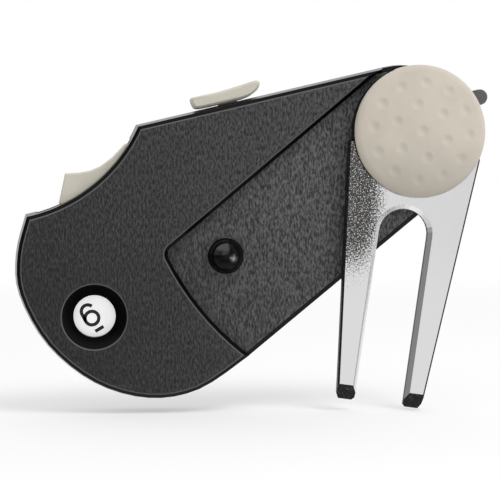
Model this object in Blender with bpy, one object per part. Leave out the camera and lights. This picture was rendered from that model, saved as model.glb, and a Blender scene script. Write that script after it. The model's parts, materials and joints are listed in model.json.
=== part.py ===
"""A folding golf divot repair tool: a two-prong steel fork that swings out of a moulded case, a magnetic
ball marker on the fork's hub, a stroke counter with a thumb trigger, and a sliding club brush.

The tool stands upright. X runs to the right, Z up, and the front of the case looks towards -Y. The origin
is on the flat back face, on the fork's pivot axis. Plan points are (x, z) pairs and "depth" is the distance
in front of the back face. Sizes are in millimetres and become metres where a mesh is made.
"""

import math

import bmesh
import bpy
from mathutils import Matrix, Vector

MM = 0.001

# Case, in plan: a straight top edge, a round right end, a straight lower edge and a round counter lobe.
TOP_SLOPE = 13.34
TOP_OFFSET = 13.0
LOWER_SLOPE = 39.35
LOWER_OFFSET = 12.2
END_RADIUS = 13.2
NOTCH_CENTRE = (-79.9, 12.8)
NOTCH_RADIUS = 29.5
NOTCH_FROM = -24.1
NOTCH_TO = -77.7
LOBE = [
    (-75.35, -23.1),
    (-74.8, -30.6),
    (-69.7, -39.9),
    (-61.1, -47.0),
    (-51.1, -50.0),
    (-41.7, -48.5),
    (-32.6, -42.5),
]

# Case, in depth
BACK_FLOOR = 1.4
BACK_TOP = 4.25
FRONT_BOTTOM = 4.55
RECESS_CEILING = 5.2
RECESS_FLOOR = 6.6
PANEL_CEILING = 7.6
PANEL_FACE = 9.0
WALL = 1.6
RIM = 0.9
DRAFT = 0.55

# Recess that the fork folds into
RECESS_SLOPE = 220.1
RECESS_OFFSET = 13.5
RECESS_REACH = 53.0
RECESS_FILLET = 1.5
RECESS_END = 237.0

# Fork, pointing along its own +u from the pivot, with +v to its right
FORK_BEARING = 261.9
HEAD_RADIUS = 12.6
SHOULDER_START = 3.3
SHOULDER_ROUND = 0.6
LEFT_PRONG = (-12.95, -8.4)
RIGHT_PRONG = (12.4, 8.1)
TIP_END = 52.2
SLOT_MIDDLE = -0.15
SLOT_HALF = 4.7
SLOT_APEX = 14.8
SLOT_BEVEL = 0.8
FORK_BOTTOM = 7.1
FORK_TOP = 9.2
FORK_RIM = 0.35
CHISEL_RUN = 2.9
CHISEL_SLOPE = 30
PIVOT_RADIUS = 1.5
RUNNING_GAP = 0.25

# Counter
WHEEL_CENTRE = (-53.9, -28.7)
WHEEL_RADIUS = 13.7
WHEEL_LAYER = (3.6, 4.6)
TEETH = 10
TOOTH_TIP = 6.6
TOOTH_ROOT = 5.2
RATCHET_LAYER = (1.9, 3.8)
PAWL_LAYER = (2.0, 3.1)
TRIGGER_BEARING = 219.48
WINDOW_BOTTOM = 6.7
WINDOW_INNER = 3.95
WINDOW_OUTER = 6.28
WINDOW_CENTRE = (-61.2, -34.7)
WHEEL_POST = 1.8
TRIGGER_LAYER = (3.4, 6.6)
PAWL_STUD = (-10.0, 16.3)
STOP_POST = (-46.4, -38.3)

# Brush
BRUSH_FLOOR = 1.7
BRUSH_TOP = 4.9
SPINE = (2.25, 5.25)
SPINE_NOSE = 13.95
BRISTLE_TOP = 9.9
BRISTLE_RUN = (-14.0, 4.0)
STEM_LAYER = (2.6, 4.25)
SLIDE_LAYER = (1.8, 7.0)
DETENT_POST = (-27.5, -0.6)
DETENT_NOTCHES = (-23.0, -3.0)

# Catch
CATCH_CENTRE = (-36.5, -23.5)
CATCH_RADIUS = 3.2
CATCH_BORE = 2.0
CATCH_TOP = 9.8

# Ball marker
MARKER_RADIUS = 12.5
MARKER_BOTTOM = 9.45
MARKER_TOP = 12.3
MARKER_CROWN = 50.0
MAGNET_RADIUS = 6.0
RIVET_HEAD = 2.6
DISC_RADIUS = 6.4

# Screws
SCREW_HEAD = 2.0
SCREW_BOSS = 2.3
PILOT = 1.15

# Case screws, in plan, each with the depth its tip reaches
SCREWS = [((-53.6, -46.0), 7.1), ((-29.7, -31.8), 5.7), ((-16.9, -15.8), 5.7), ((-47.9, -3.6), 7.1)]

FINISHES = {
    "case_black": ((0.035, 0.035, 0.037), 0.55, 0.0),
    "beige_plastic": ((0.57, 0.53, 0.46), 0.45, 0.0),
    "grey_plastic": ((0.09, 0.09, 0.10), 0.5, 0.0),
    "gloss_black": ((0.01, 0.01, 0.01), 0.12, 0.0),
    "dial_white": ((0.8, 0.8, 0.79), 0.5, 0.0),
    "chrome": ((0.78, 0.78, 0.79), 0.22, 1.0),
    "steel": ((0.56, 0.56, 0.57), 0.35, 1.0),
    "magnet_nickel": ((0.62, 0.61, 0.58), 0.3, 1.0),
    "bristle_nylon": ((0.75, 0.75, 0.72), 0.5, 0.0),
}

PARTS = bpy.data.collections.new("divot_repair_tool")
CUTTERS = bpy.data.collections.new("cutters")


# ---- plan geometry ----


def polar(centre, radius, degrees):
    """The plan point at a radius and bearing from centre."""
    angle = math.radians(degrees)
    return centre[0] + radius * math.cos(angle), centre[1] + radius * math.sin(angle)


def arc(centre, radius, start, end, chord=1.4):
    """Plan points along an arc, both ends included."""
    length = math.radians(abs(end - start)) * radius
    count = max(3, math.ceil(length / chord))
    return [polar(centre, radius, start + (end - start) * i / count) for i in range(count + 1)]


def circle(centre, radius, count):
    """Plan points of a full circle."""
    return [polar(centre, radius, 360.0 * i / count) for i in range(count)]


def smooth(points, steps=4):
    """A Catmull-Rom curve through the points, both ends included."""

    def between(a, b, c, d, t):
        bend = 2 * a - 5 * b + 4 * c - d
        twist = 3 * b - a - 3 * c + d
        return 0.5 * (2 * b + (c - a) * t + bend * t**2 + twist * t**3)

    line = [points[0], *points, points[-1]]
    out = []
    for before, start, end, after in zip(line, line[1:], line[2:], line[3:]):
        for i in range(steps):
            x, z = (between(*values, i / steps) for values in zip(before, start, end, after))
            out.append((x, z))
    return [*out, points[-1]]


def crossing(bearing_a, offset_a, bearing_b, offset_b):
    """Where two lines meet, each given by the bearing of its normal and its distance from the pivot."""
    a, b = polar((0, 0), 1, bearing_a), polar((0, 0), 1, bearing_b)
    scale = a[0] * b[1] - a[1] * b[0]
    return (offset_a * b[1] - offset_b * a[1]) / scale, (a[0] * offset_b - b[0] * offset_a) / scale


def placed(points, origin, bearing, mirrored=False):
    """Plan points given as (along, across), laid from origin along a bearing."""
    ahead = polar((0, 0), 1, bearing)
    side = polar((0, 0), 1, bearing - 90 if mirrored else bearing + 90)
    x, z = origin
    return [(x + u * ahead[0] + v * side[0], z + u * ahead[1] + v * side[1]) for u, v in points]


def along_top(points):
    """Plan points given as (along the top edge, out from the pivot towards it)."""
    return placed(points, (0, 0), TOP_SLOPE)


def counter(points):
    """Plan points given as (along the trigger's travel, out from the wheel's axis)."""
    return placed(points, WHEEL_CENTRE, TRIGGER_BEARING, mirrored=True)


def lobe_side():
    """The case's left side, from the top edge round to the end of the lower edge."""
    notch = arc(NOTCH_CENTRE, NOTCH_RADIUS, NOTCH_FROM, NOTCH_TO)
    return notch[:-1] + smooth([notch[-1], *LOBE])


def case_outline():
    """The whole case in plan."""
    top, lower = TOP_SLOPE + 90, LOWER_SLOPE - 90
    centre = crossing(top, TOP_OFFSET - END_RADIUS, lower, LOWER_OFFSET - END_RADIUS)
    return arc(centre, END_RADIUS, lower, top) + lobe_side()


def recess_wall(end):
    """The wall between panel and recess: an arc about the pivot from a bearing, then a filleted corner."""
    normal = RECESS_SLOPE - 90
    fillet_reach = RECESS_REACH - RECESS_FILLET
    bearing = normal + math.degrees(math.acos((RECESS_OFFSET - RECESS_FILLET) / fillet_reach))
    fillet = polar((0, 0), fillet_reach, bearing)
    far_wall = arc((0, 0), RECESS_REACH, end, bearing, 3.0)
    return far_wall[:-1] + arc(fillet, RECESS_FILLET, bearing, normal, 0.5)


def panel_outline():
    """The raised front panel: the lobe and the strip that runs from it along the top edge."""
    tip = crossing(TOP_SLOPE + 90, TOP_OFFSET, RECESS_SLOPE - 90, RECESS_OFFSET)
    end = LOWER_SLOPE - 90 - math.degrees(math.acos(LOWER_OFFSET / RECESS_REACH))
    return lobe_side()[:-1] + recess_wall(end + 360) + [tip]


def recess_outline():
    """The recess, run out past the case on its open sides."""
    tip = crossing(TOP_SLOPE + 90, TOP_OFFSET, RECESS_SLOPE - 90, RECESS_OFFSET)
    past_tip = polar(tip, 12, RECESS_SLOPE - 180)
    return recess_wall(RECESS_END) + [past_tip, (30, 25), (30, -20), (-20, -60)]


# ---- solids ----


def add(name, mesh):
    """A named object in the parts collection."""
    piece = bpy.data.objects.new(name, mesh)
    PARTS.objects.link(piece)
    return piece


def finish(name, bm):
    """Make an object of bm with its faces pointing out, and round faces shaded smooth."""
    bmesh.ops.recalc_face_normals(bm, faces=bm.faces)
    mesh = bpy.data.meshes.new(name)
    bm.to_mesh(mesh)
    bm.free()
    mesh.shade_smooth()
    mesh.set_sharp_from_angle(angle=math.radians(32))
    return add(name, mesh)


def offset(points, distance):
    """A plan outline moved inwards by a distance, corner by corner."""
    moved = []
    for before, point, after in zip(points[-1:] + points[:-1], points, points[1:] + points[:1]):
        first = (Vector(point) - Vector(before)).normalized()
        second = (Vector(after) - Vector(point)).normalized()
        inward = Vector((-first.y - second.y, first.x + second.x))
        reach = distance * 2 / inward.length_squared
        moved.append((point[0] + inward.x * reach, point[1] + inward.y * reach))
    return moved


def plate(name, outline, *levels):
    """A flat piece: one section of the outline at each (depth, shrink) level, back to front, joined up."""
    area = sum(a[0] * b[1] - b[0] * a[1] for a, b in zip(outline, outline[1:] + outline[:1]))
    points = outline if area > 0 else outline[::-1]
    bm = bmesh.new()
    rings = []
    for depth, shrink in levels:
        rings.append([bm.verts.new((x * MM, -depth * MM, z * MM)) for x, z in offset(points, shrink)])
    bm.faces.new(rings[0])
    bm.faces.new(rings[-1])
    for back, front in zip(rings, rings[1:]):
        for i in range(len(points)):
            bm.faces.new((back[i - 1], back[i], front[i], front[i - 1]))
    return finish(name, bm)


def rod(name, centre, radius, low, high, segments=32, far_radius=None):
    """A cylinder, or a cone with another radius at its front, whose axis runs through the case."""
    bm = bmesh.new()
    middle = Vector((centre[0], -(low + high) / 2, centre[1])) * MM
    bmesh.ops.create_cone(
        bm,
        cap_ends=True,
        segments=segments,
        radius1=radius * MM,
        radius2=(radius if far_radius is None else far_radius) * MM,
        depth=(high - low) * MM,
        matrix=Matrix.Translation(middle) @ Matrix.Rotation(math.radians(90), 4, "X"),
    )
    return finish(name, bm)


def turned(name, centre, profile, segments):
    """A solid of revolution about an axis through the case, from a profile of (radius, depth) points."""
    bm = bmesh.new()
    verts = [bm.verts.new((r * MM, -depth * MM, 0)) for r, depth in profile]
    edges = [bm.edges.new(pair) for pair in zip(verts, verts[1:])]
    bmesh.ops.spin(
        bm,
        geom=verts + edges,
        cent=(0, 0, 0),
        axis=(0, 1, 0),
        angle=math.tau,
        steps=segments,
        use_merge=True,
    )
    bmesh.ops.remove_doubles(bm, verts=bm.verts, dist=0.00001)
    bmesh.ops.translate(bm, vec=Vector((centre[0], 0, centre[1])) * MM, verts=bm.verts)
    return finish(name, bm)


def coil(name, start, direction, radius, wire, length, turns):
    """A compression spring: a wire wound about an axis from start."""
    axis = Vector(direction).normalized()
    across = axis.orthogonal().normalized()
    third = axis.cross(across)
    curve = bpy.data.curves.new(name, "CURVE")
    curve.dimensions = "3D"
    curve.bevel_depth = wire * MM
    curve.bevel_resolution = 1
    curve.use_fill_caps = True
    count = round(turns * 12)
    spline = curve.splines.new("POLY")
    spline.points.add(count)
    for i, point in enumerate(spline.points):
        turn = math.tau * turns * i / count
        rise = wire + (length - 2 * wire) * i / count
        place = Vector(start) + axis * rise + (across * math.cos(turn) + third * math.sin(turn)) * radius
        point.co = (*(place * MM), 1)
    wound = bpy.data.objects.new(name + "_curve", curve)
    bpy.context.scene.collection.objects.link(wound)
    bpy.context.view_layer.update()
    bm = bmesh.new()
    bm.from_mesh(bpy.data.meshes.new_from_object(wound.evaluated_get(bpy.context.evaluated_depsgraph_get())))
    bmesh.ops.remove_doubles(bm, verts=bm.verts, dist=0.000001)
    bpy.data.objects.remove(wound)
    return finish(name, bm)


def combine(target, tool, operation):
    """Join tool to target or cut it away, and keep tool as a hidden guide."""
    modifier = target.modifiers.new(tool.name, "BOOLEAN")
    modifier.operation = operation
    modifier.solver = "EXACT"
    modifier.object = tool
    tool.hide_render = True
    tool.display_type = "WIRE"
    PARTS.objects.unlink(tool)
    CUTTERS.objects.link(tool)


def join(target, *tools):
    for tool in tools:
        combine(target, tool, "UNION")


def cut(target, *tools):
    for tool in tools:
        combine(target, tool, "DIFFERENCE")


# ---- case ----


def slab(name, outline, low, high):
    """A plain flat piece between two depths."""
    return plate(name, outline, (low, 0), (high, 0))


def rounded(name, outline, layer, edge):
    """A flat piece between two depths with both its edges broken."""
    low, high = layer
    return plate(name, outline, (low, edge), (low + edge, 0), (high - edge, 0), (high, edge))


def trigger_slot(name, low, high):
    """The opening in the notch's wall that the trigger runs in."""
    outer = arc(NOTCH_CENTRE, NOTCH_RADIUS - 3.5, -74.2, -29.1)
    inner = arc(NOTCH_CENTRE, NOTCH_RADIUS + 2.6, -29.1, -74.2)
    return slab(name, outer + inner, low, high)


def brush_channel(name):
    """The brush's way through the case and out of its right end."""
    return slab(name, along_top([(-38.5, 2.05), (17, 2.05), (17, 10.2), (-38.5, 10.2)]), 1.5, 5.05)


def make_front_shell():
    """The front half: the deep panel, the recess beside it and the counter's window."""
    rim_start = PANEL_FACE - RIM
    shell = plate("front_shell", case_outline(), (FRONT_BOTTOM, -DRAFT), (rim_start, 0), (PANEL_FACE, RIM))
    beyond = 1.0
    cut(
        shell,
        plate(
            "recess_cut",
            recess_outline(),
            (FRONT_BOTTOM - beyond, 0),
            (rim_start, 0),
            (PANEL_FACE + beyond, -RIM - beyond),
        ),
    )
    floor_rim = RECESS_FLOOR - RIM
    inside = 0.03
    draft_left = inside - DRAFT * (rim_start - floor_rim) / (rim_start - FRONT_BOTTOM)
    floor_levels = (FRONT_BOTTOM, inside - DRAFT), (floor_rim, draft_left), (RECESS_FLOOR, draft_left + RIM)
    join(shell, plate("recess_floor", case_outline(), *floor_levels))
    cut(shell, plate("recess_cavity", case_outline(), (FRONT_BOTTOM - beyond, WALL), (RECESS_CEILING, WALL)))
    inner_wall = WALL + 0.3
    cavity_levels = (FRONT_BOTTOM - beyond, inner_wall), (PANEL_CEILING, inner_wall)
    cut(shell, plate("panel_cavity", panel_outline(), *cavity_levels))
    for number, (place, tip) in enumerate(SCREWS, 1):
        join(shell, rod(f"front_boss_{number}", place, SCREW_BOSS, FRONT_BOTTOM + 0.05, tip + 0.7, 20))
        cut(shell, rod(f"front_pilot_{number}", place, PILOT, FRONT_BOTTOM - beyond, tip + 0.2, 16))
    collar = WINDOW_INNER + 1.2
    join(shell, rod("window_boss", WINDOW_CENTRE, collar, RECESS_CEILING, PANEL_CEILING + 0.4, 48))
    past_face = PANEL_FACE + beyond
    slope = (WINDOW_OUTER - WINDOW_INNER) / (PANEL_FACE - WINDOW_BOTTOM)
    mouth = WINDOW_OUTER + slope * beyond
    cut(
        shell,
        rod("window_bore", WINDOW_CENTRE, WINDOW_INNER, FRONT_BOTTOM, past_face, 48),
        rod("window_funnel", WINDOW_CENTRE, WINDOW_INNER, WINDOW_BOTTOM, past_face, 48, far_radius=mouth),
        rod("catch_bore", CATCH_CENTRE, CATCH_RADIUS + 0.2, FRONT_BOTTOM - beyond, PANEL_FACE, 32),
        rod("front_pivot_bore", (0, 0), PIVOT_RADIUS + RUNNING_GAP, FRONT_BOTTOM - beyond, PANEL_FACE, 24),
        trigger_slot("front_trigger_slot", FRONT_BOTTOM - beyond, TRIGGER_LAYER[1] + 0.3),
        brush_channel("front_brush_channel"),
    )
    return shell


def make_back_shell():
    """The back half: a tray with the screw bosses, the wheel's post and the pivot's boss."""
    shell = plate("back_shell", case_outline(), (0, RIM), (RIM, 0), (BACK_TOP, -DRAFT))
    above = BACK_TOP + 1
    cut(shell, plate("back_cavity", case_outline(), (BACK_FLOOR, WALL), (above, WALL)))
    under = BACK_FLOOR - 0.3
    for number, (place, _) in enumerate(SCREWS, 1):
        join(shell, rod(f"back_boss_{number}", place, 2.9, under, BACK_TOP - 0.05, 24))
        cut(
            shell,
            rod(f"screw_recess_{number}", place, SCREW_HEAD + 0.3, -1, 1.75, 24),
            rod(f"screw_hole_{number}", place, PILOT, 0, above, 16),
        )
    join(shell, rod("pivot_boss", (0, 0), 4.2, under, BACK_TOP - 0.05, 32))
    cut(shell, rod("back_pivot_bore", (0, 0), PIVOT_RADIUS + RUNNING_GAP, 0.9, above, 24))
    join(shell, rod("wheel_post", WHEEL_CENTRE, WHEEL_POST, under, 4.85, 24))
    cut(shell, rod("wheel_pilot", WHEEL_CENTRE, PILOT, 1.9, above + 1, 16))
    join(shell, rod("catch_spigot", CATCH_CENTRE, 1.1, under, 3.2, 16))
    seat = counter([(7.8, 15.6), (8.8, 15.6), (8.8, 18.9), (7.8, 18.9)])
    join(shell, slab("spring_seat", seat, under, 5.9))
    join(shell, rod("stop_pawl_post", STOP_POST, 0.9, under, PAWL_LAYER[1] + 0.3, 16))
    guide = along_top([(-17, 1.0), (-6.5, 1.0), (-6.5, 2.0), (-17, 2.0)])
    join(shell, slab("brush_guide", guide, under, 4.1))
    join(shell, rod("detent_post", along_top([DETENT_POST])[0], 0.8, under, 3.9, 16))
    stem_slot = along_top([(-36.4, 9), (-10.4, 9), (-10.4, 14.5), (-36.4, 14.5)])
    cut(
        shell,
        slab("stem_slot", stem_slot, STEM_LAYER[0] - 0.3, above),
        trigger_slot("back_trigger_slot", TRIGGER_LAYER[0] - 0.3, above),
        brush_channel("back_brush_channel"),
    )
    return shell


def make_case_screw(number, place, tip):
    """A self-tapping screw with a cross recess, driven in from the back."""
    head, top = 0.35, 1.5
    name = f"case_screw_{number}"
    screw = rod(name, place, SCREW_HEAD, head, top, 24)
    join(screw, rod(name + "_shank", place, PILOT - 0.2, top - 0.1, tip, 16))
    bar = [(-1.3, -0.25), (1.3, -0.25), (1.3, 0.25), (-1.3, 0.25)]
    cut(
        screw,
        slab(name + "_cross_a", placed(bar, place, 20), 0, 0.9),
        slab(name + "_cross_b", placed(bar, place, 110), 0, 0.85),
    )
    return screw


# ---- fork, its pivot and the ball marker ----


def slot_arch():
    """The round end of the slot, from its left edge to its right edge."""
    return arc((SLOT_APEX + SLOT_HALF, SLOT_MIDDLE), SLOT_HALF, 270, 90, 0.9)


def prong_edge(shoulder, tip):
    """A prong's edge from its rounded shoulder down its outer side, across its tip and to the slot."""
    side = math.copysign(1, tip)
    head_edge = math.sqrt(HEAD_RADIUS**2 - SHOULDER_START**2)
    overlap = max(0.0, head_edge - abs(shoulder) + SHOULDER_ROUND)
    start = math.asin(overlap / SHOULDER_ROUND)
    bump_centre = (SHOULDER_START + SHOULDER_ROUND * math.cos(start), shoulder - side * SHOULDER_ROUND)
    corner = 0.5
    slot_edge = SLOT_MIDDLE + side * SLOT_HALF
    return [
        *arc(bump_centre, SHOULDER_ROUND, 180 - side * math.degrees(start), 180 - side * 90, 0.4)[1:],
        (TIP_END - 2 * corner, tip),
        (TIP_END, tip - side * corner),
        (TIP_END, slot_edge + side * corner),
        (TIP_END - corner, slot_edge),
    ]


def fork_outline():
    """The fork in plan, pointing along +u: round head, shouldered prongs and an arched slot."""
    head_turn = math.degrees(math.acos(SHOULDER_START / HEAD_RADIUS))
    head = arc((0, 0), HEAD_RADIUS, head_turn, 360 - head_turn)
    return head + prong_edge(*LEFT_PRONG) + slot_arch() + prong_edge(*RIGHT_PRONG)[::-1]


def slot_bevel():
    """The cutter that breaks the slot's front edge."""
    past_tip = 8
    slot = slot_arch() + [
        (TIP_END + past_tip, SLOT_MIDDLE + SLOT_HALF),
        (TIP_END + past_tip, SLOT_MIDDLE - SLOT_HALF),
    ]
    clear = 0.2
    levels = (FORK_TOP - SLOT_BEVEL - clear, clear), (FORK_TOP + clear, -SLOT_BEVEL - clear)
    return plate("slot_bevel", placed(slot, (0, 0), FORK_BEARING), *levels)


def tip_chisel():
    """The cutter that slopes the front of both tips down to a blade."""
    mesh = bpy.data.meshes.new("tip_chisel")
    bm = bmesh.new()
    bmesh.ops.create_cube(bm, size=1, matrix=Matrix.Diagonal((8 * MM, 4 * MM, 30 * MM, 1)))
    bmesh.ops.translate(bm, vec=(4 * MM, -2 * MM, 0), verts=bm.verts)
    slope = Matrix.Rotation(math.radians(CHISEL_SLOPE), 3, "Z")
    bmesh.ops.rotate(bm, cent=(0, 0, 0), matrix=slope, verts=bm.verts)
    bmesh.ops.translate(bm, vec=((TIP_END - CHISEL_RUN) * MM, -FORK_TOP * MM, 0), verts=bm.verts)
    turn = Matrix.Rotation(math.radians(-FORK_BEARING), 3, "Y")
    bmesh.ops.rotate(bm, cent=(0, 0, 0), matrix=turn, verts=bm.verts)
    bm.to_mesh(mesh)
    bm.free()
    return add("tip_chisel", mesh)


def make_fork():
    """The two-prong steel fork with its marker seat, its pivot hole and its chiselled tips."""
    outline = placed(fork_outline(), (0, 0), FORK_BEARING)
    burr = 0.15
    levels = (FORK_BOTTOM, burr), (FORK_BOTTOM + burr, 0), (FORK_TOP - FORK_RIM, 0), (FORK_TOP, FORK_RIM)
    fork = plate("fork", outline, *levels)
    cut(
        fork,
        rod("magnet_seat", (0, 0), MAGNET_RADIUS + 0.2, 8.1, 10, 40),
        rod("rivet_seat", (0, 0), RIVET_HEAD + 0.3, 7.65, 9, 32),
        rod("fork_bore", (0, 0), PIVOT_RADIUS + RUNNING_GAP, 6, 9, 24),
        slot_bevel(),
        tip_chisel(),
    )
    return fork


def make_pivot_rivet():
    """The headed pin that the fork turns on, set into the back shell."""
    rivet = rod("pivot_rivet", (0, 0), PIVOT_RADIUS, 1.1, 7.95, 24)
    join(rivet, rod("rivet_head", (0, 0), RIVET_HEAD, 7.75, 8.0, 32))
    return rivet


def ring(name, centre, outer, inner, low, high, segments=40):
    """A flat washer."""
    washer = rod(name, centre, outer, low, high, segments)
    cut(washer, rod(name + "_bore", centre, inner, low - 1, high + 1, segments))
    return washer


def make_ball_marker():
    """The domed ball marker with a seat for its steel disc underneath."""
    edge = 0.9
    flat_edge = MARKER_RADIUS - edge
    steps = [flat_edge * i / 8 for i in range(9)]
    dome = [(r, MARKER_TOP - MARKER_CROWN + math.sqrt(MARKER_CROWN**2 - r**2)) for r in steps]
    rim_top = dome[-1][1]
    dome += [
        (flat_edge + edge * math.sin(math.radians(a)), rim_top - edge + edge * math.cos(math.radians(a)))
        for a in (30, 60, 90)
    ]
    dome += [(MARKER_RADIUS, MARKER_BOTTOM + 0.4), (MARKER_RADIUS - 0.4, MARKER_BOTTOM), (0, MARKER_BOTTOM)]
    marker = turned("ball_marker", (0, 0), dome, 72)
    cut(marker, rod("disc_seat", (0, 0), DISC_RADIUS + 0.25, MARKER_BOTTOM - 1, 10.2, 40))
    return marker


# ---- counter ----


def make_count_wheel():
    """The ten-place number wheel with its ratchet."""
    teeth = []
    step = 360 / TEETH
    start = TRIGGER_BEARING - 90 - step / 2
    for i in range(TEETH):
        face = start + i * step
        teeth += [polar(WHEEL_CENTRE, TOOTH_ROOT, face), polar(WHEEL_CENTRE, TOOTH_TIP, face)]
    wheel = rounded("count_wheel", circle(WHEEL_CENTRE, WHEEL_RADIUS, 80), WHEEL_LAYER, 0.15)
    join(wheel, slab("ratchet", teeth, *RATCHET_LAYER))
    cut(wheel, rod("wheel_bore", WHEEL_CENTRE, WHEEL_POST + RUNNING_GAP, 0, 6, 32))
    return wheel


def make_wheel_screw():
    """The screw that keeps the wheel on its post."""
    screw = rod("wheel_screw", WHEEL_CENTRE, 2.7, 5.35, 6.3, 32)
    join(screw, rod("wheel_screw_shank", WHEEL_CENTRE, PILOT - 0.2, 2.3, 5.5, 16))
    slot = placed([(-3, -0.3), (3, -0.3), (3, 0.3), (-3, 0.3)], WHEEL_CENTRE, 15)
    cut(screw, slab("wheel_screw_slot", slot, 5.9, 7))
    return screw


def make_stop_pawl():
    """The leaf that stops the wheel from turning back, springing over each tooth as it passes."""
    post = Vector(STOP_POST)
    low, high = PAWL_LAYER
    pawl = rod("stop_pawl", STOP_POST, 1.7, low, high, 20)
    tip = Vector(polar(WHEEL_CENTRE, 5.75, 0.5))
    heel = post + Vector((0, 1.45))
    bend = Vector(polar(WHEEL_CENTRE, 7.1, -6))
    right = [heel + Vector((0.25, -0.4)), bend + Vector((0.35, 0)), tip + Vector((0.1, 0.35))]
    left = [tip, bend, heel - Vector((0.2, 0.4))]
    join(pawl, slab("stop_leaf", [tuple(point) for point in right + left], low + 0.1, high - 0.1))
    cut(pawl, rod("stop_pawl_bore", STOP_POST, 1.15, 0, 5, 16))
    return pawl


def make_count_trigger():
    """The thumb trigger: a curved pad outside the notch, a rail inside it and a stud for the pawl."""
    low, high = TRIGGER_LAYER
    pad = [
        (1.0, 16.3),
        (1.0, 20.6),
        (-3.4, 24.1),
        (-5.6, 22.5),
        (-7.4, 21.5),
        (-9.4, 20.95),
        (-12.2, 20.85),
        (-15.6, 21.3),
        (-15.9, 20.8),
        (-13.0, 16.9),
        (-12.6, 16.3),
    ]
    trigger = rounded("count_trigger", counter(pad), TRIGGER_LAYER, 0.3)
    rail = counter([(-12.8, 15.6), (0.9, 15.6), (0.9, 16.9), (-12.8, 16.9)])
    join(trigger, slab("trigger_rail", rail, low + 0.05, high + 0.5))
    join(trigger, rod("pawl_stud", counter([PAWL_STUD])[0], 0.45, PAWL_LAYER[0] - 0.15, 4.5, 16))
    return trigger


def make_drive_pawl():
    """The hooked leaf under the trigger that turns the wheel on by one tooth a stroke."""
    tip_u = -2.25
    hook = [
        (tip_u, 5.65),
        (tip_u, 8.3),
        (-9.3, 8.3),
        (-9.3, 15.5),
        (-8.6, 16.9),
        (-11.4, 16.9),
        (-10.6, 15.5),
        (-10.6, 7.1),
        (tip_u - 2.3, 7.1),
    ]
    pawl = slab("drive_pawl", counter(hook), *PAWL_LAYER)
    cut(pawl, rod("pawl_eye", counter([PAWL_STUD])[0], 0.6, 0, 5, 16))
    return pawl


# ---- catch ----


def make_catch_button():
    """The sprung dome that holds the folded fork between its prongs."""
    dome_start = RECESS_FLOOR + 0.15
    height = CATCH_TOP - dome_start
    quarter = [math.radians(a) for a in range(0, 91, 10)]
    profile = [(CATCH_RADIUS * math.sin(a), dome_start + height * math.cos(a)) for a in quarter]
    flange, flange_top = 4.1, 4.95
    profile += [(CATCH_RADIUS, flange_top), (flange, flange_top), (flange, 4.45), (CATCH_BORE, 4.45)]
    profile += [(CATCH_BORE, 7.7), (0, 7.7)]
    return turned("catch_button", CATCH_CENTRE, profile, 40)


# ---- brush ----


def make_slide_button():
    """The thumb slide on the top edge, with a stem down to the carriage."""
    pad = smooth(
        [
            (-31.0, 13.72),
            (-29.3, 14.0),
            (-27.75, 14.8),
            (-27.15, 15.9),
            (-27.75, 16.45),
            (-30.0, 16.3),
            (-35.0, 15.95),
            (-39.9, 16.0),
            (-40.5, 15.75),
            (-40.4, 14.6),
            (-39.7, 13.85),
            (-37.0, 13.72),
        ],
        3,
    )
    button = rounded("slide_button", along_top(pad), SLIDE_LAYER, 0.4)
    stem = along_top([(-35.5, 5.6), (-31.9, 5.6), (-31.9, 14.9), (-35.5, 14.9)])
    join(button, slab("slide_stem", stem, *STEM_LAYER))
    return button


def make_brush_carriage():
    """The sliding spine that carries the bristles, with a socket for the thumb slide's stem."""
    low, high = SPINE
    nose = arc((SPINE_NOSE, (low + high) / 2), (high - low) / 2, -90, 90, 0.6)
    spine = nose + [(-29.5, high), (-30.3, 8.2), (-37.1, 8.2), (-37.1, low)]
    carriage = rounded("brush_carriage", along_top(spine), (BRUSH_FLOOR, BRUSH_TOP), 0.15)
    socket = along_top([(-35.8, 5.3), (-31.6, 5.3), (-31.6, 9), (-35.8, 9)])
    cut(carriage, slab("stem_socket", socket, STEM_LAYER[0] - 0.25, STEM_LAYER[1] + 0.2))
    start, end = BRISTLE_RUN
    bed = along_top([(start - 0.3, 4.1), (end + 0.3, 4.1), (end + 0.3, 6), (start - 0.3, 6)])
    cut(carriage, slab("bristle_bed", bed, BRUSH_FLOOR + 0.4, BRUSH_TOP - 0.4))
    for stop in DETENT_NOTCHES:
        notch = along_top([(stop - 0.6, 2.2), (stop + 0.6, 2.2), (stop, 2.8)])
        cut(carriage, slab(f"detent_notch_{abs(int(stop))}", notch, BRUSH_FLOOR - 1, BRUSH_TOP + 1))
    return carriage


def make_brush_bristles():
    """The bristle block: rows of stiff tufts standing on a strip."""
    start, end = BRISTLE_RUN
    strip = along_top([(start, 4.4), (end, 4.4), (end, 5.5), (start, 5.5)])
    brush = slab("brush_bristles", strip, BRUSH_FLOOR + 0.6, BRUSH_TOP - 0.6)
    tufts = 12
    pitch = (end - start) / tufts
    for i in range(tufts):
        left = start + (i + 0.14) * pitch
        right = start + (i + 0.86) * pitch
        tuft = along_top([(left, 5.2), (right, 5.2), (right, BRISTLE_TOP), (left, BRISTLE_TOP)])
        join(brush, slab(f"tuft_{i + 1}", tuft, BRUSH_FLOOR + 0.75, BRUSH_TOP - 0.75))
    return brush


def make_brush_detent():
    """The bent leaf that clicks into the carriage's notches."""
    u, v = DETENT_POST
    above = [(u - 0.3, v + 0.9), (-24.4, 1.15), (-23.4, 2.1), (-22.6, 2.1), (-21.6, 1.0)]
    below = [(-21.9, 0.75), (-22.9, 1.7), (-23.1, 1.7), (-24.2, 0.8), (u, v + 0.5)]
    leaf = above + below
    detent = rod("brush_detent", along_top([DETENT_POST])[0], 1.5, 2.0, 3.8, 20)
    join(detent, slab("detent_leaf", along_top(leaf), 2.1, 3.7))
    cut(detent, rod("detent_bore", along_top([DETENT_POST])[0], 1.0, 0, 5, 16))
    return detent


# ---- assembly ----


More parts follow.
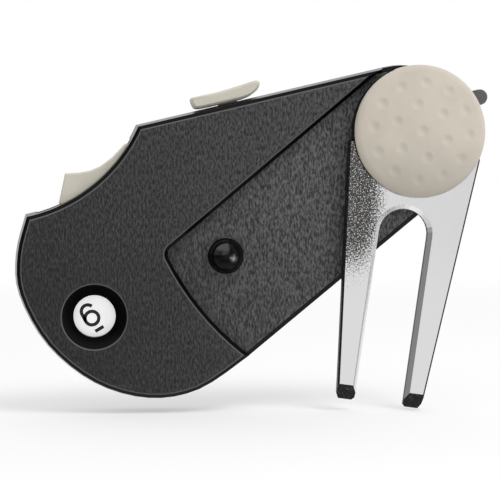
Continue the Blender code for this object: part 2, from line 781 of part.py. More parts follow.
def body(name, place):
    """An empty on a joint's axis, which carries a moving body's pieces."""
    holder = bpy.data.objects.new(name, None)
    holder.empty_display_size = 0.005
    holder.location = Vector(place) * MM
    PARTS.objects.link(holder)
    return holder


def carry(holder, *pieces):
    """Parent pieces to a holder without moving them."""
    for piece in pieces:
        piece.parent = holder
        piece.matrix_parent_inverse = Matrix.Translation(-holder.location)


def paint(finish_name, *pieces):
    """Give pieces one material."""
    material = bpy.data.materials.get(finish_name)
    if material is None:
        colour, roughness, metallic = FINISHES[finish_name]
        material = bpy.data.materials.new(finish_name)
        material.use_nodes = True
        shader = material.node_tree.nodes["Principled BSDF"]
        shader.inputs["Base Color"].default_value = (*colour, 1)
        shader.inputs["Roughness"].default_value = roughness
        shader.inputs["Metallic"].default_value = metallic
    for piece in pieces:
        piece.data.materials.append(material)


def main():
    """Build every piece, paint it and hang the moving ones on their joints."""
    for item in list(bpy.data.objects):
        bpy.data.objects.remove(item)
    bpy.context.scene.collection.children.link(PARTS)
    bpy.context.scene.collection.children.link(CUTTERS)

    front_shell = make_front_shell()
    back_shell = make_back_shell()
    screws = [make_case_screw(number, *where) for number, where in enumerate(SCREWS, 1)]
    fork = make_fork()
    rivet = make_pivot_rivet()
    wave_washer = ring("wave_washer", (0, 0), 5.0, PIVOT_RADIUS + RUNNING_GAP, 6.75, 6.95)
    magnet = rod("magnet", (0, 0), MAGNET_RADIUS, 8.2, 9.1, 40)
    marker = make_ball_marker()
    disc = rod("marker_steel_disc", (0, 0), DISC_RADIUS, MARKER_BOTTOM + 0.1, 10.0, 40)
    wheel = make_count_wheel()
    wheel_washer = ring("wheel_washer", WHEEL_CENTRE, 3.6, WHEEL_POST + RUNNING_GAP, 4.85, 5.15, 32)
    wheel_screw = make_wheel_screw()
    stop_pawl = make_stop_pawl()
    trigger = make_count_trigger()
    drive_pawl = make_drive_pawl()
    seat_x, seat_z = counter([(1.15, 17.3)])[0]
    spring_way = (math.cos(math.radians(TRIGGER_BEARING)), 0, math.sin(math.radians(TRIGGER_BEARING)))
    trigger_spring = coil("trigger_spring", (seat_x, -4.5, seat_z), spring_way, 0.95, 0.15, 6.4, 6)
    catch_button = make_catch_button()
    catch_foot = (CATCH_CENTRE[0], -1.55, CATCH_CENTRE[1])
    catch_spring = coil("catch_spring", catch_foot, (0, -1, 0), 1.5, 0.18, 5.9, 5)
    slide_button = make_slide_button()
    carriage = make_brush_carriage()
    bristles = make_brush_bristles()
    detent = make_brush_detent()

    paint("case_black", front_shell, back_shell)
    paint("beige_plastic", marker, trigger, slide_button)
    paint("grey_plastic", carriage)
    paint("gloss_black", catch_button)
    paint("dial_white", wheel)
    paint("chrome", fork)
    paint("steel", *screws, rivet, wave_washer, disc, wheel_washer, wheel_screw, stop_pawl, drive_pawl)
    paint("steel", trigger_spring, catch_spring, detent)
    paint("magnet_nickel", magnet)
    paint("bristle_nylon", bristles)

    carry(body("fork_body", (0, 0, 0)), fork, magnet)
    carry(body("marker_body", (0, -MARKER_BOTTOM, 0)), marker, disc)
    carry(body("wheel_body", (WHEEL_CENTRE[0], 0, WHEEL_CENTRE[1])), wheel)
    carry(body("trigger_body", (seat_x, -4.5, seat_z)), trigger, drive_pawl)
    carry(body("catch_body", (CATCH_CENTRE[0], 0, CATCH_CENTRE[1])), catch_button)
    carry(body("brush_body", (0, 0, 0)), slide_button, carriage, bristles)


main()
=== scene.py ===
"""Looks for the folding divot repair tool: finishes, marker, dial numbers, brush, springs and studio."""

import json
import math

import bmesh
import bpy
from mathutils import Matrix, Vector


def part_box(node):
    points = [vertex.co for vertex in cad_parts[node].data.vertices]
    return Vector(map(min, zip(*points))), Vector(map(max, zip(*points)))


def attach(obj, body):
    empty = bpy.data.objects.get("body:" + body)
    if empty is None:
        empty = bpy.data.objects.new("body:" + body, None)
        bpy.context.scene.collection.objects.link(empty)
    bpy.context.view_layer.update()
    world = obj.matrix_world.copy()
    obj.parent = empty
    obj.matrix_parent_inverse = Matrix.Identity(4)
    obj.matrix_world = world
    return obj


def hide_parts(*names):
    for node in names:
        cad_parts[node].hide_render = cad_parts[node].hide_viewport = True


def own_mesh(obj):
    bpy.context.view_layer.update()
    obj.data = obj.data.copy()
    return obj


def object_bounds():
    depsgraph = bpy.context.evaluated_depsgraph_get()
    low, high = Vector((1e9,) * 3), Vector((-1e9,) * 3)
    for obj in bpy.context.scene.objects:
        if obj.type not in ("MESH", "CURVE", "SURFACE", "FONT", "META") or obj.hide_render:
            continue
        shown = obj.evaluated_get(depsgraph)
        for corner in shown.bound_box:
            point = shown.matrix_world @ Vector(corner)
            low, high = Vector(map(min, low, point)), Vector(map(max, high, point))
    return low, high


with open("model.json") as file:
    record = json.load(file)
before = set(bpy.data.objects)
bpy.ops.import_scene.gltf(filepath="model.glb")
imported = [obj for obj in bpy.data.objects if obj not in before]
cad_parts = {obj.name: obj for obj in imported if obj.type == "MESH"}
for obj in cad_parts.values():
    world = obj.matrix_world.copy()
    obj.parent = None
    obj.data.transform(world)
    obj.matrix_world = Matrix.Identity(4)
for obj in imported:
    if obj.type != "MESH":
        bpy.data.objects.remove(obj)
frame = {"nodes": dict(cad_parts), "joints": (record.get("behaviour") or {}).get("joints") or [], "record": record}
CAD_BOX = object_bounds()
NODES = frame["nodes"]
JOINTS = {joint["name"]: joint for joint in frame["joints"]}
MM = 0.001


# ---- node trees ----


class Nodes:
    """A node tree, put together one node at a time."""

    def __init__(self, tree):
        self.tree = tree

    def add(self, kind, **settings):
        node = self.tree.nodes.new(kind)
        for key, value in settings.items():
            setattr(node, key, value)
        return node

    def feed(self, socket, value):
        """Link an output to a socket, or set the socket to a plain value."""
        if isinstance(value, bpy.types.NodeSocket):
            self.tree.links.new(value, socket)
        else:
            socket.default_value = value

    def math(self, operation, a, b=0.0):
        node = self.add("ShaderNodeMath", operation=operation)
        self.feed(node.inputs[0], a)
        self.feed(node.inputs[1], b)
        return node.outputs[0]

    def times(self, a, b):
        return self.math("MULTIPLY", a, b)

    def shares(self, a, share_a, b, share_b):
        """The sum of two values, each taken in its share."""
        return self.math("ADD", self.times(a, share_a), self.times(b, share_b))

    def most(self, first, *others):
        """The greatest of several values."""
        greatest = first
        for other in others:
            greatest = self.math("MAXIMUM", greatest, other)
        return greatest

    def ramp(self, value, low, high, to_low=0.0, to_high=1.0):
        """Map value from low..high smoothly to to_low..to_high."""
        node = self.add("ShaderNodeMapRange", interpolation_type="SMOOTHSTEP")
        slots = ("Value", "From Min", "From Max", "To Min", "To Max")
        for slot, item in zip(slots, (value, low, high, to_low, to_high)):
            self.feed(node.inputs[slot], item)
        return node.outputs["Result"]

    def xyz(self, vector):
        """The three coordinates of a vector."""
        node = self.add("ShaderNodeSeparateXYZ")
        self.feed(node.inputs[0], vector)
        return [node.outputs[axis] for axis in "XYZ"]

    def alignment(self, vector, direction):
        """1 where a unit vector points along the direction, less where it points away from it."""
        node = self.add("ShaderNodeVectorMath", operation="DOT_PRODUCT")
        self.feed(node.inputs[0], vector)
        self.feed(node.inputs[1], direction)
        return node.outputs["Value"]


class Paint(Nodes):
    """A node material round one Principled shader."""

    def __init__(self, name):
        self.material = bpy.data.materials.new(name)
        self.material.use_nodes = True
        super().__init__(self.material.node_tree)
        self.shader = self.tree.nodes["Principled BSDF"]
        self.place = self.add("ShaderNodeTexCoord").outputs["Object"]

    def set(self, **values):
        """Set inputs of the Principled shader: base_color=..., roughness=..."""
        for key, value in values.items():
            name = key.replace("_", " ").title().replace("Ior", "IOR")
            self.feed(self.shader.inputs[name], value)

    def stretched(self, scale):
        """The place on the piece, with each axis scaled, so that a texture is drawn out."""
        node = self.add("ShaderNodeMapping")
        self.feed(node.inputs["Vector"], self.place)
        node.inputs["Scale"].default_value = scale
        return node.outputs["Vector"]

    def noise(self, size_mm, detail=2.0, stretch=(1, 1, 1), roughness=0.5):
        """Noise whose blobs are about size_mm across."""
        node = self.add("ShaderNodeTexNoise")
        self.feed(node.inputs["Vector"], self.stretched(stretch))
        node.inputs["Scale"].default_value = 1 / (size_mm * MM)
        node.inputs["Detail"].default_value = detail
        node.inputs["Roughness"].default_value = roughness
        return node.outputs["Fac"]

    def cells(self, size_mm, stretch=(1, 1, 1)):
        """Distance to the nearest of scattered points about size_mm apart."""
        node = self.add("ShaderNodeTexVoronoi")
        self.feed(node.inputs["Vector"], self.stretched(stretch))
        node.inputs["Scale"].default_value = 1 / (size_mm * MM)
        return node.outputs["Distance"]

    def blend(self, factor, a, b):
        """Colour a where the factor is 0, colour b where it is 1."""
        node = self.add("ShaderNodeMix", data_type="RGBA")
        self.feed(node.inputs["Factor"], factor)
        for socket, colour in ((node.inputs["A"], a), (node.inputs["B"], b)):
            self.feed(socket, colour if isinstance(colour, bpy.types.NodeSocket) else (*colour, 1.0))
        return node.outputs["Result"]

    def scaled(self, colour, factor):
        """A colour made lighter or darker by a factor."""
        node = self.add("ShaderNodeVectorMath", operation="SCALE")
        self.feed(node.inputs[0], colour)
        self.feed(node.inputs["Scale"], factor)
        return node.outputs[0]

    def bump(self, height, depth_mm, strength=1.0):
        """Feed the shader a bump map whose full height is depth_mm."""
        node = self.add("ShaderNodeBump")
        self.feed(node.inputs["Height"], height)
        self.feed(node.inputs["Strength"], strength)
        node.inputs["Distance"].default_value = depth_mm * MM
        self.feed(self.shader.inputs["Normal"], node.outputs["Normal"])

    def lean(self):
        """1 where the surface faces straight forwards or backwards, 0 where it faces sideways."""
        facing = self.xyz(self.add("ShaderNodeNewGeometry").outputs["True Normal"])
        return self.math("ABSOLUTE", facing[1])


# ---- finishes ----

# The catch's dome shows one small bright window of the studio: the way its surface faces there, where its
# reflectivity is raised as a painted reflection, and the way the window lies from the tool.
SPOT_FACING = (0.335, -0.936, -0.106)
WINDOW_WAY = (0.682, -0.692, -0.233)

# The open fork leans by this much. Its outer rims lie beyond one distance from its middle line, and its
# tips below another from the pivot; each begins over a short stretch, in millimetres. These bound its painted
# shade.
FORK_LEAN = math.radians(8.1)
RIM_STARTS = 6.1, 6.5
TIP_STARTS = 46.5, 47.5


def gloss_dome():
    """Catch: glossy black whose reflectivity is painted by facing, so it mirrors only towards the upper left and
    in a spot right of its middle: a painted reflection.
    """
    paint = Paint("gloss_black")
    normal = paint.add("ShaderNodeNewGeometry").outputs["Normal"]
    x, _, z = paint.xyz(normal)
    # Painted reflection: reflectivity is high only where the dome faces up and left and round the spot facing, low
    # elsewhere.
    painted_reflection_upper_left = paint.times(paint.ramp(z, 0.04, 0.16), paint.ramp(x, 0.05, 0.2, 1.0, 0.0))
    spot = paint.ramp(paint.alignment(normal, SPOT_FACING), 0.955, 0.985)
    paint.set(
        base_color=(0.003, 0.003, 0.003, 1.0),
        roughness=0.17,
        specular_ior_level=paint.ramp(paint.most(painted_reflection_upper_left, spot), 0.0, 1.0, 0.12, 1.0),
    )
    paint.bump(paint.noise(0.6), 0.003, 0.5)
    return paint.material


def moulded_black():
    """Case: upright leather grain on flat faces with painted light on the skin, black rims with a painted
    highlight on their foremost edge, and shining side walls.
    """
    paint = Paint("case_black")
    lean = paint.lean()
    flat = paint.ramp(lean, 0.985, 0.998)
    wall = paint.ramp(lean, 0.25, 0.5, 1.0, 0.0)
    x, y, z = paint.xyz(paint.place)

    # Painted light: the skin is lighter towards the fork and towards the top, and noise adds soft patches of tone.
    across = paint.ramp(x, -78 * MM, -4 * MM)
    painted_light_upward = paint.ramp(z, -50 * MM, 0.0)
    painted_light_and_tone = paint.shares(paint.shares(across, 0.7, painted_light_upward, 0.3), 0.75, paint.noise(11.0, 3.0), 0.25)
    skin = paint.blend(painted_light_and_tone, (0.0068, 0.0069, 0.0071), (0.0540, 0.0540, 0.0542))

    # Upright furrows darken it, and the recess floor is a little lighter than the raised panel.
    streaks = paint.noise(0.5, 3.0, (1.4, 1.0, 0.55), 0.65)
    pores = paint.cells(0.55, (1.4, 1.0, 0.6))
    furrow = paint.ramp(streaks, 0.36, 0.66, 0.25, 1.9)
    recessed = paint.ramp(y, -8.5 * MM, -7.0 * MM, 1.0, 1.5)
    grained = paint.scaled(skin, paint.times(furrow, recessed))

    # Painted highlight: only the foremost part of a rim is coloured light.
    foremost = -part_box("front_shell")[0].y
    depth = paint.times(y, -1.0)
    painted_crest_light = paint.ramp(depth, foremost - 0.30 * MM, foremost - 0.16 * MM)
    rim = paint.blend(painted_crest_light, (0.0025, 0.0025, 0.0026), (0.11, 0.11, 0.111))
    edges = paint.blend(wall, rim, (0.012, 0.012, 0.0122))
    paint.set(
        base_color=paint.blend(flat, edges, grained),
        roughness=paint.shares(paint.ramp(flat, 0.0, 1.0, 0.2, 0.44), 1.0, wall, 0.08),
        specular_ior_level=paint.shares(paint.ramp(flat, 0.0, 1.0, 0.10, 0.42), 1.0, wall, 0.75),
    )
    paint.bump(paint.shares(streaks, 0.8, pores, 0.5), 0.2, flat)
    return paint.material


def soft_beige(name, colour, dark, lower_painted_shade=1.0):
    """Matt moulded plastic with a faint mottle and an eggshell surface. Painted shade darkens the lower side."""
    paint = Paint(name)
    mottle = paint.blend(paint.ramp(paint.noise(5.0, 3.0), 0.3, 0.7), dark, colour)
    _, _, z = paint.xyz(paint.place)
    # Painted shade: the colour is darker towards the bottom.
    painted_shade_scale = paint.ramp(z, -12.5 * MM, 0.0, lower_painted_shade, 1.0)
    paint.set(
        base_color=paint.scaled(mottle, painted_shade_scale),
        roughness=paint.ramp(paint.noise(0.8), 0.2, 0.8, 0.48, 0.6),
        subsurface_weight=0.08,
        subsurface_radius=(0.001, 0.0008, 0.0006),
        subsurface_scale=0.5,
        specular_ior_level=0.4,
    )
    paint.bump(paint.noise(0.35), 0.012, 0.5)
    return paint.material


def plated_grain():
    """Fork: bright plating and a sparkling cast grain; painted shade darkens the grain by its left shoulder and
    colours the side walls, outer rims and tips dark.
    """
    paint = Paint("chrome")
    x, _, z = paint.xyz(paint.place)
    down = paint.times(z, -1.0)
    lean = paint.lean()
    wall = paint.ramp(lean, 0.25, 0.5, 1.0, 0.0)
    off_flat = paint.ramp(lean, 0.9, 0.98, 1.0, 0.0)
    chiselled = paint.times(paint.ramp(lean, 0.78, 0.84), off_flat)
    tip_faces = paint.times(paint.ramp(down, TIP_STARTS[0] * MM, TIP_STARTS[1] * MM), chiselled)

    # The distance from the fork's middle line tells its outer rim from the slot's bevel.
    aside = paint.shares(x, math.cos(FORK_LEAN), down, math.sin(FORK_LEAN))
    outer = paint.ramp(paint.math("ABSOLUTE", aside), RIM_STARTS[0] * MM, RIM_STARTS[1] * MM)
    # Painted shade: side walls, outer rims and tip faces are coloured dark and lose their metal.
    painted_dark_edges = paint.most(wall, tip_faces, paint.times(outer, off_flat))
    scuffs = paint.noise(0.5, 4.0, roughness=0.7)
    steel = paint.blend(paint.ramp(scuffs, 0.5, 0.7), (0.006, 0.006, 0.006), (0.07, 0.068, 0.064))

    # The grain is a real texture; painted shade darkens it at the left shoulder, and it breaks up into bright
    # plating to the right and down.
    grain = paint.noise(0.27, roughness=0.75)
    leftward = paint.ramp(x, -13 * MM, -1 * MM, 1.0, 0.0)
    shoulder = paint.times(leftward, paint.ramp(down, 13 * MM, 39 * MM, 1.0, 0.0))
    shoulder = paint.times(shoulder, paint.ramp(lean, 0.75, 0.98))
    threshold = paint.ramp(shoulder, 0.0, 0.85, 0.2, 0.585)
    sparkle = paint.ramp(paint.math("SUBTRACT", grain, threshold), -0.05, 0.05)
    plating = paint.blend(sparkle, (0.07, 0.068, 0.062), (0.88, 0.88, 0.885))
    rough_end = paint.ramp(down, 16 * MM, 40 * MM, 1.0, 0.05)
    paint.set(
        base_color=paint.blend(painted_dark_edges, plating, steel),
        metallic=paint.ramp(painted_dark_edges, 0.2, 1.0, 1.0, 0.0),
        roughness=paint.shares(paint.ramp(rough_end, 0.0, 1.0, 0.1, 0.18), 1.0, painted_dark_edges, 0.35),
        specular_ior_level=0.2,
    )
    paint.bump(grain, 0.03, paint.times(rough_end, 0.9))
    return paint.material


def plain_steel(name, colour, roughness):
    """Pressed or turned steel with a faint drawn grain."""
    paint = Paint(name)
    lines = paint.noise(0.5, 3.0, (6.0, 1.0, 1.0))
    paint.set(
        base_color=paint.blend(lines, tuple(c * 0.8 for c in colour), colour),
        metallic=1.0,
        roughness=paint.ramp(lines, 0.3, 0.7, roughness - 0.08, roughness + 0.08),
    )
    paint.bump(lines, 0.01, 0.4)
    return paint.material


def plastic(name, colour, roughness, texture_mm, depth_mm, painted_glow=0.0, shine=0.5):
    """Moulded plastic with a fine spark-eroded surface. Any glow it has is painted light."""
    paint = Paint(name)
    mottle = paint.noise(3.0, 3.0)
    paint.set(
        base_color=paint.blend(mottle, tuple(c * 0.85 for c in colour), colour),
        roughness=paint.ramp(paint.noise(1.2), 0.3, 0.7, roughness - 0.04, roughness + 0.04),
        specular_ior_level=shine,
        emission_color=(*colour, 1.0),
        emission_strength=painted_glow,
    )
    paint.bump(paint.noise(texture_mm), depth_mm, 0.5)
    return paint.material


FINISH = {
    "case_black": moulded_black(),
    "marker_beige": soft_beige("marker_beige", (0.60, 0.55, 0.47), (0.565, 0.515, 0.44), lower_painted_shade=0.78),
    "beige_plastic": soft_beige("beige_plastic", (0.625, 0.59, 0.505), (0.585, 0.56, 0.475)),
    "grey_plastic": plastic("grey_plastic", (0.125, 0.125, 0.13), 0.5, 0.25, 0.01),
    "gloss_black": gloss_dome(),
    # The dial glows a little: painted light.
    "dial_white": plastic("dial_white", (0.97, 0.97, 0.965), 0.45, 0.3, 0.008, painted_glow=0.42),
    "dial_ink": plastic("dial_ink", (0.012, 0.012, 0.014), 0.5, 0.2, 0.006),
    "chrome": plated_grain(),
    "steel": plain_steel("steel", (0.56, 0.56, 0.57), 0.33),
    "magnet_nickel": plain_steel("magnet_nickel", (0.66, 0.64, 0.6), 0.25),
    "bristle_nylon": plastic("bristle_nylon", (0.62, 0.62, 0.58), 0.42, 0.2, 0.01),
}


def finish(piece, name):
    """Give a piece one finish."""
    piece.data.materials.clear()
    piece.data.materials.append(FINISH[name])


# ---- CAD pieces ----

CAD_CREASE = 34
MARKER_CREASE = 40
SPRING_CREASE = 60


def shade(piece, angle):
    """Smooth shading, with sharp edges kept where faces meet at more than the angle."""
    piece.data.shade_smooth()
    piece.data.set_sharp_from_angle(angle=math.radians(angle))


def dress_cad_pieces():
    """Every CAD node takes the finish of its slot in the record."""
    slots = {row["node"]: row["material_slot"] for row in frame["record"]["subparts"]}
    for node, piece in NODES.items():
        finish(piece, slots[node])
        shade(piece, CAD_CREASE)


def mesh_piece(name, bm):
    """A new object in the scene from an edited mesh."""
    mesh = bpy.data.meshes.new(name)
    bm.to_mesh(mesh)
    bm.free()
    piece = bpy.data.objects.new(name, mesh)
    bpy.context.scene.collection.objects.link(piece)
    return piece


# ---- ball marker ----

MARKER_CROWN = 50 * MM
MARKER_EDGE = 1.3 * MM
DIMPLE_RADIUS = 1.15 * MM
DIMPLE_DEPTH = 0.3 * MM
# Each ring of dimples: how many, how far out in millimetres, and the bearing of the first in degrees.
DIMPLE_RINGS = ((1, 0.0, 0.0), (6, 5.05, 40.0), (12, 9.1, 25.5))


def dimple_places():
    places = []
    for count, out, first in DIMPLE_RINGS:
        for i in range(count):
            turn = math.radians(first + 360 * i / count)
            places.append((out * MM * math.cos(turn), out * MM * math.sin(turn)))
    return places


def marker_height(x, z, radius, dimples):
    """How far the marker's face stands back from its highest point, at a place on it."""
    r = math.hypot(x, z)
    back = MARKER_CROWN - math.sqrt(MARKER_CROWN**2 - min(r, radius) ** 2)
    if r > radius - MARKER_EDGE:
        over = min((r - (radius - MARKER_EDGE)) / MARKER_EDGE, 1.0)
        back += 0.7 * MARKER_EDGE * (1 - math.sqrt(1 - over**2))
    for dimple_x, dimple_z in dimples:
        away = math.hypot(x - dimple_x, z - dimple_z) / DIMPLE_RADIUS
        if away < 1:
            back += DIMPLE_DEPTH * (1 - away**2) ** 1.5
    return back


def make_marker():
    """The domed marker with its golf-ball dimples, over the CAD marker's own outline and underside."""
    low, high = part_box("ball_marker")
    seat_low, seat_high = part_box("marker_steel_disc")
    centre = (low + high) / 2
    radius = (high.x - low.x) / 2
    under = high.y
    dimples = dimple_places()
    rings, spokes = 64, 180
    bm = bmesh.new()

    def face_depth(x, z):
        return low.y + marker_height(x, z, radius, dimples)

    def ring(r, depth=None):
        """A ring of points at one depth, or else on the face."""
        row = []
        for i in range(spokes):
            x = r * math.cos(math.tau * i / spokes)
            z = r * math.sin(math.tau * i / spokes)
            y = face_depth(x, z) if depth is None else depth
            row.append(bm.verts.new((centre.x + x, y, centre.z + z)))
        return row

    pole = bm.verts.new((centre.x, face_depth(0, 0), centre.z))
    rows = [ring(radius * 0.992 * i / rings) for i in range(1, rings + 1)]
    rows += [ring(radius * 0.9986), ring(radius)]
    rows += [ring(radius, under - 0.45 * MM), ring(radius - 0.35 * MM, under)]
    seat_radius = (seat_high.x - seat_low.x) / 2 + 0.25 * MM
    seat_depth = seat_low.y - 0.2 * MM
    rows += [ring(seat_radius, under), ring(seat_radius, seat_depth)]
    floor = bm.verts.new((centre.x, seat_depth, centre.z))
    for i in range(spokes):
        bm.faces.new((pole, rows[0][i], rows[0][i - 1]))
        bm.faces.new((floor, rows[-1][i - 1], rows[-1][i]))
        for inner, outer in zip(rows, rows[1:]):
            bm.faces.new((inner[i - 1], inner[i], outer[i], outer[i - 1]))
    bmesh.ops.recalc_face_normals(bm, faces=bm.faces)
    piece = mesh_piece("ball_marker_shell", bm)
    finish(piece, "marker_beige")
    shade(piece, MARKER_CREASE)
    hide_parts("ball_marker")
    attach(piece, "marker")


# ---- dial numbers ----

# The number in the window at rest, the window's bearing from the hub, and how far the number is turned.
SHOWING = 6
SHOWN_AT = math.radians(215.8)
TILT = math.radians(31.0)
NUMBER_REACH = 10.1 * MM
STROKE_WIDTH = 0.64 * MM
BARRED = (6, 9)
HANGING = (3, 4, 5, 7, 9)


def oval(x, y, wide, high, start, end):
    """Points along part of an ellipse, from one bearing to another."""
    count = max(2, round(abs(end - start) / 12))
    turns = [math.radians(start + (end - start) * i / count) for i in range(count + 1)]
    return [(x + wide * math.cos(t), y + high * math.sin(t)) for t in turns]


def numeral(number):
    """The strokes of a rounded numeral about 2.7 mm wide and 4 mm tall, with a bar under 6 and 9.

    Some hang below the others, as old-style figures do.
    """
    six = oval(0, 0.78, 1.22, 1.22, 20, 180) + oval(0, -0.72, 1.3, 1.28, 180, 540)
    nine = [(-x, -y) for x, y in six]
    strokes = {
        0: [oval(0, 0, 1.3, 2.0, 90, 450)],
        1: [[(-0.7, 1.3), (0.25, 2.0), (0.25, -2.0)]],
        2: [oval(0, 0.85, 1.2, 1.15, 165, -35) + [(-1.25, -2.0), (1.3, -2.0)]],
        3: [oval(-0.05, 0.95, 1.1, 1.05, 150, -75) + oval(0, -0.95, 1.3, 1.05, 80, -150)],
        4: [[(1.2, -0.8), (-1.3, -0.8), (0.55, 2.0), (0.55, -2.0)]],
        5: [[(0.8, 2.0), (-0.85, 2.0), (-1.1, 0.25)] + oval(0, -0.7, 1.3, 1.3, 130, -145)],
        6: [six],
        7: [[(-1.25, 2.0), (1.2, 2.0), (-0.3, -2.0)]],
        8: [oval(0, 1.0, 1.05, 1.0, -90, 270), oval(0, -1.0, 1.3, 1.0, 90, 450)],
        9: [nine],
    }[number]
    if number in BARRED:
        strokes = [*strokes, [(-0.75, -3.2), (1.05, -3.2)]]
    drop = 1.0 if number in HANGING else 0.0
    return [[(x, y - drop) for x, y in stroke] for stroke in strokes]


def make_digits():
    """The numbers 0 to 9 round the wheel, raised a hair off its face, each tilted as the window shows it."""
    joint = JOINTS["wheel_index"]
    hub = Vector(joint["pos_m"])
    step = math.radians(joint["range_deg"][1])
    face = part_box("count_wheel")[0].y
    bm = bmesh.new()
    for number in range(10):
        turn = (SHOWING - number) * step
        bearing = SHOWN_AT + turn
        out = Vector((math.cos(bearing), 0, math.sin(bearing))) * NUMBER_REACH
        centre = Vector((hub.x, face, hub.z)) + out
        for stroke in numeral(number):
            ribbon(bm, stroke, centre, TILT + turn, STROKE_WIDTH)
    piece = mesh_piece("dial_digits", bm)
    finish(piece, "dial_ink")
    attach(piece, "wheel")


def upright(x, y, turn):
    """A point of the flat figure, turned anticlockwise as seen from the front, in metres."""
    return Vector((x * math.cos(turn) - y * math.sin(turn), 0, x * math.sin(turn) + y * math.cos(turn))) * MM


def sideways(way):
    """The direction across a stroke that runs along way."""
    ahead = way.normalized()
    return Vector((-ahead.z, 0, ahead.x))


def ribbon(bm, stroke, centre, turn, width):
    """A flat raised stroke along points, set at centre."""
    spots = [centre + upright(x, y, turn) for x, y in stroke]
    top, low = Vector((0, -0.03 * MM, 0)), Vector((0, 0.01 * MM, 0))
    rings = []
    for before, spot, after in zip([spots[0], *spots], spots, [*spots[1:], spots[-1]]):
        across = sideways(after - before)
        lean = 1.0 if after == spot else max(0.5, across.dot(sideways(after - spot)))
        half = across * (width / 2 / lean)
        corners = (spot + half + top, spot - half + top, spot - half + low, spot + half + low)
        rings.append([bm.verts.new(corner) for corner in corners])
    for first, second in zip(rings, rings[1:]):
        for i in range(4):
            bm.faces.new((first[i - 1], first[i], second[i], second[i - 1]))
    bm.faces.new(rings[0])
    bm.faces.new(rings[-1])


# ---- brush ----

TUFT_COLUMNS = 12
TUFT_ROWS = 3
HAIRS_ROUND = 6
TUFT_RADIUS = 0.24 * MM
HAIR_RADIUS = 0.085 * MM
HAIR_UNEVEN = 0.22 * MM
TIP_SPLAY = 1.25
BED_HEIGHT = 1.1 * MM


def make_bristles():
    """Rows of nylon filaments in tufts, in the space of the CAD bristle block."""
    along = Vector(JOINTS["brush_slide"]["axis"]).normalized()
    up = Vector((-along.z, 0, along.x))
    verts = [v.co for v in NODES["brush_bristles"].data.vertices]
    u_low, u_high = min(v.dot(along) for v in verts), max(v.dot(along) for v in verts)
    v_low, v_high = min(v.dot(up) for v in verts), max(v.dot(up) for v in verts)
    y_low, y_high = min(v.y for v in verts), max(v.y for v in verts)
    hairs = [(0.0, 0.0)]
    for i in range(HAIRS_ROUND):
        turn = math.tau * i / HAIRS_ROUND
        hairs.append((TUFT_RADIUS * math.cos(turn), TUFT_RADIUS * math.sin(turn)))

    def place(u, y, v):
        return along * u + up * v + Vector((0, y, 0))

    bm = bmesh.new()
    for vert in bmesh.ops.create_cube(bm, size=1)["verts"]:
        u = u_high if vert.co.x > 0 else u_low
        v = v_low + BED_HEIGHT if vert.co.z > 0 else v_low
        vert.co = place(u, y_high if vert.co.y > 0 else y_low, v)
    for column in range(TUFT_COLUMNS):
        for row in range(TUFT_ROWS):
            u = u_low + (column + 0.5) * (u_high - u_low) / TUFT_COLUMNS
            y = y_low + (row + 0.5) * (y_high - y_low) / TUFT_ROWS
            for k, (du, dy) in enumerate(hairs):
                short = (column * 7 + row * 3 + k * 5) % 5 / 5
                foot = place(u + du, y + dy, v_low + 0.9 * BED_HEIGHT)
                tip = place(u + du * TIP_SPLAY, y + dy * TIP_SPLAY, v_high - HAIR_UNEVEN * short)
                filament(bm, foot, tip, HAIR_RADIUS)
    piece = mesh_piece("bristle_tufts", bm)
    finish(piece, "bristle_nylon")
    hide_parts("brush_bristles")
    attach(piece, "brush")


def filament(bm, foot, tip, radius):
    """A thin six-sided bristle between two points."""
    way = tip - foot
    turn = way.to_track_quat("Z", "Y").to_matrix().to_4x4()
    matrix = Matrix.Translation((foot + tip) / 2) @ turn
    bmesh.ops.create_cone(
        bm, cap_ends=True, segments=6, radius1=radius, radius2=radius * 0.8, depth=way.length, matrix=matrix
    )


# ---- springs ----


def make_spring(node):
    """A copy of a CAD spring in its place, attached to the case; the CAD spring is hidden."""
    mesh = NODES[node].data.copy()
    piece = bpy.data.objects.new(node + "_wire", mesh)
    bpy.context.scene.collection.objects.link(piece)
    finish(piece, "steel")
    shade(piece, SPRING_CREASE)
    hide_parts(node)
    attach(piece, "case")
    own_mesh(piece)


# ---- studio ----

CAMERA_PLACE = Vector((-58, -285, -12)) * MM
CAMERA_AIM = Vector((-31.85, -6, -22.4)) * MM
FLOOR_GAP = 0.2 * MM


def aim(thing, place, target):
    """Put a lamp or camera somewhere and point it at a target."""
    thing.location = place
    thing.rotation_mode = "QUATERNION"
    thing.rotation_quaternion = (Vector(target) - Vector(place)).to_track_quat("-Z", "Y")
    bpy.context.scene.collection.objects.link(thing)


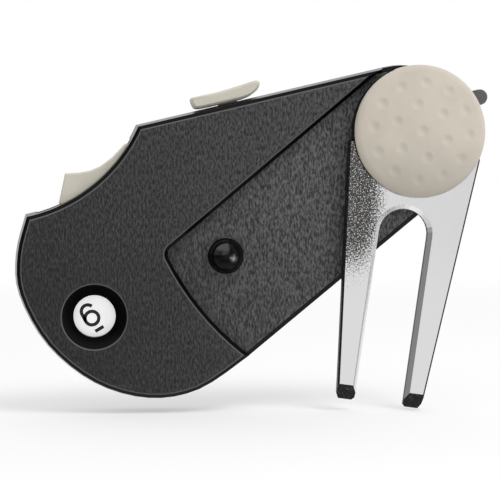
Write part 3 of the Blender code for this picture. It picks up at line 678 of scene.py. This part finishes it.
def make_world():
    """White backdrop. In reflections: bright round the camera, a dark ring about that, bright beyond it."""
    world = bpy.data.worlds.new("studio")
    bpy.context.scene.world = world
    world.use_nodes = True
    sky = Nodes(world.node_tree)
    sky.tree.nodes.clear()
    way = sky.add("ShaderNodeTexCoord").outputs["Generated"]
    x, y, z = sky.xyz(way)
    ahead, leftward, down = (sky.times(value, -1.0) for value in (y, x, z))
    front = sky.ramp(ahead, 0.80, 0.97, 0.0, 0.80)
    behind = sky.ramp(y, 0.25, 0.6, 0.0, 0.95)
    right = sky.ramp(x, 0.45, 0.8, 0.0, 0.95)
    left = sky.times(sky.ramp(leftward, 0.45, 0.7, 0.0, 0.7), sky.ramp(down, 0.1, 0.4, 0.35, 1.0))
    above = sky.ramp(z, 0.35, 0.75, 0.0, 0.9)
    below = sky.ramp(down, 0.45, 0.85, 0.0, 0.95)
    dimmest = 0.02
    path = sky.add("ShaderNodeLightPath").outputs
    window = sky.ramp(sky.alignment(way, WINDOW_WAY), 0.955, 0.99, 0.0, 3.5)
    mirrored = sky.times(window, path["Is Glossy Ray"])
    light = sky.most(front, behind, right, left, above, below, dimmest, mirrored)

    seen = sky.add("ShaderNodeMix", data_type="RGBA")
    sky.feed(seen.inputs["Factor"], path["Is Camera Ray"])
    sky.feed(seen.inputs["A"], light)
    sky.feed(seen.inputs["B"], (1, 1, 1, 1))
    background = sky.add("ShaderNodeBackground")
    sky.feed(background.inputs["Color"], seen.outputs["Result"])
    output = sky.add("ShaderNodeOutputWorld")
    sky.feed(output.inputs[0], background.outputs[0])


def make_light(name, place, size, watts):
    """A square softbox aimed at the middle of the tool. Reflections don't show it."""
    data = bpy.data.lights.new(name, "AREA")
    data.size = size
    data.energy = watts
    lamp = bpy.data.objects.new(name, data)
    lamp.visible_glossy = False
    aim(lamp, place, (CAD_BOX[0] + CAD_BOX[1]) / 2)


def make_floor():
    """A wide pale floor under the tool, which fades into the backdrop."""
    bm = bmesh.new()
    bmesh.ops.create_grid(bm, x_segments=1, y_segments=1, size=3.0)
    floor = mesh_piece("floor", bm)
    floor.location = (0, 0, CAD_BOX[0].z - FLOOR_GAP)
    floor.visible_glossy = False
    paint = Paint("floor_white")
    paint.set(base_color=(0.9, 0.9, 0.9, 1), roughness=0.9, specular_ior_level=0.0)
    length = paint.add("ShaderNodeVectorMath", operation="LENGTH")
    paint.feed(length.inputs[0], paint.place)
    whiteness = paint.ramp(length.outputs["Value"], 0.1, 0.5, 0.4, 1.0)
    seen = paint.add("ShaderNodeLightPath").outputs["Is Camera Ray"]
    blend = paint.add("ShaderNodeMixShader")
    paint.feed(blend.inputs["Fac"], paint.times(seen, whiteness))
    paint.feed(blend.inputs[1], paint.shader.outputs[0])
    paint.feed(blend.inputs[2], paint.add("ShaderNodeEmission").outputs[0])
    paint.feed(paint.tree.nodes["Material Output"].inputs["Surface"], blend.outputs[0])
    floor.data.materials.append(paint.material)


def make_camera():
    """The viewpoint: level with the tool, a little to the left of its middle."""
    data = bpy.data.cameras.new("camera")
    data.sensor_width = 36
    data.lens = 106.5
    data.clip_start = 10 * MM
    camera = bpy.data.objects.new("camera", data)
    aim(camera, CAMERA_PLACE, CAMERA_AIM)
    bpy.context.scene.camera = camera


dress_cad_pieces()
make_marker()
make_digits()
make_bristles()
make_spring("trigger_spring")
make_spring("catch_spring")
make_world()
make_light("key", (0.25, -0.3, 0.6), size=0.3, watts=2.2)
make_light("fill", (-0.6, -0.5, 0.15), size=0.5, watts=0.5)
make_floor()
make_camera()
bpy.context.scene.view_settings.view_transform = "Standard"
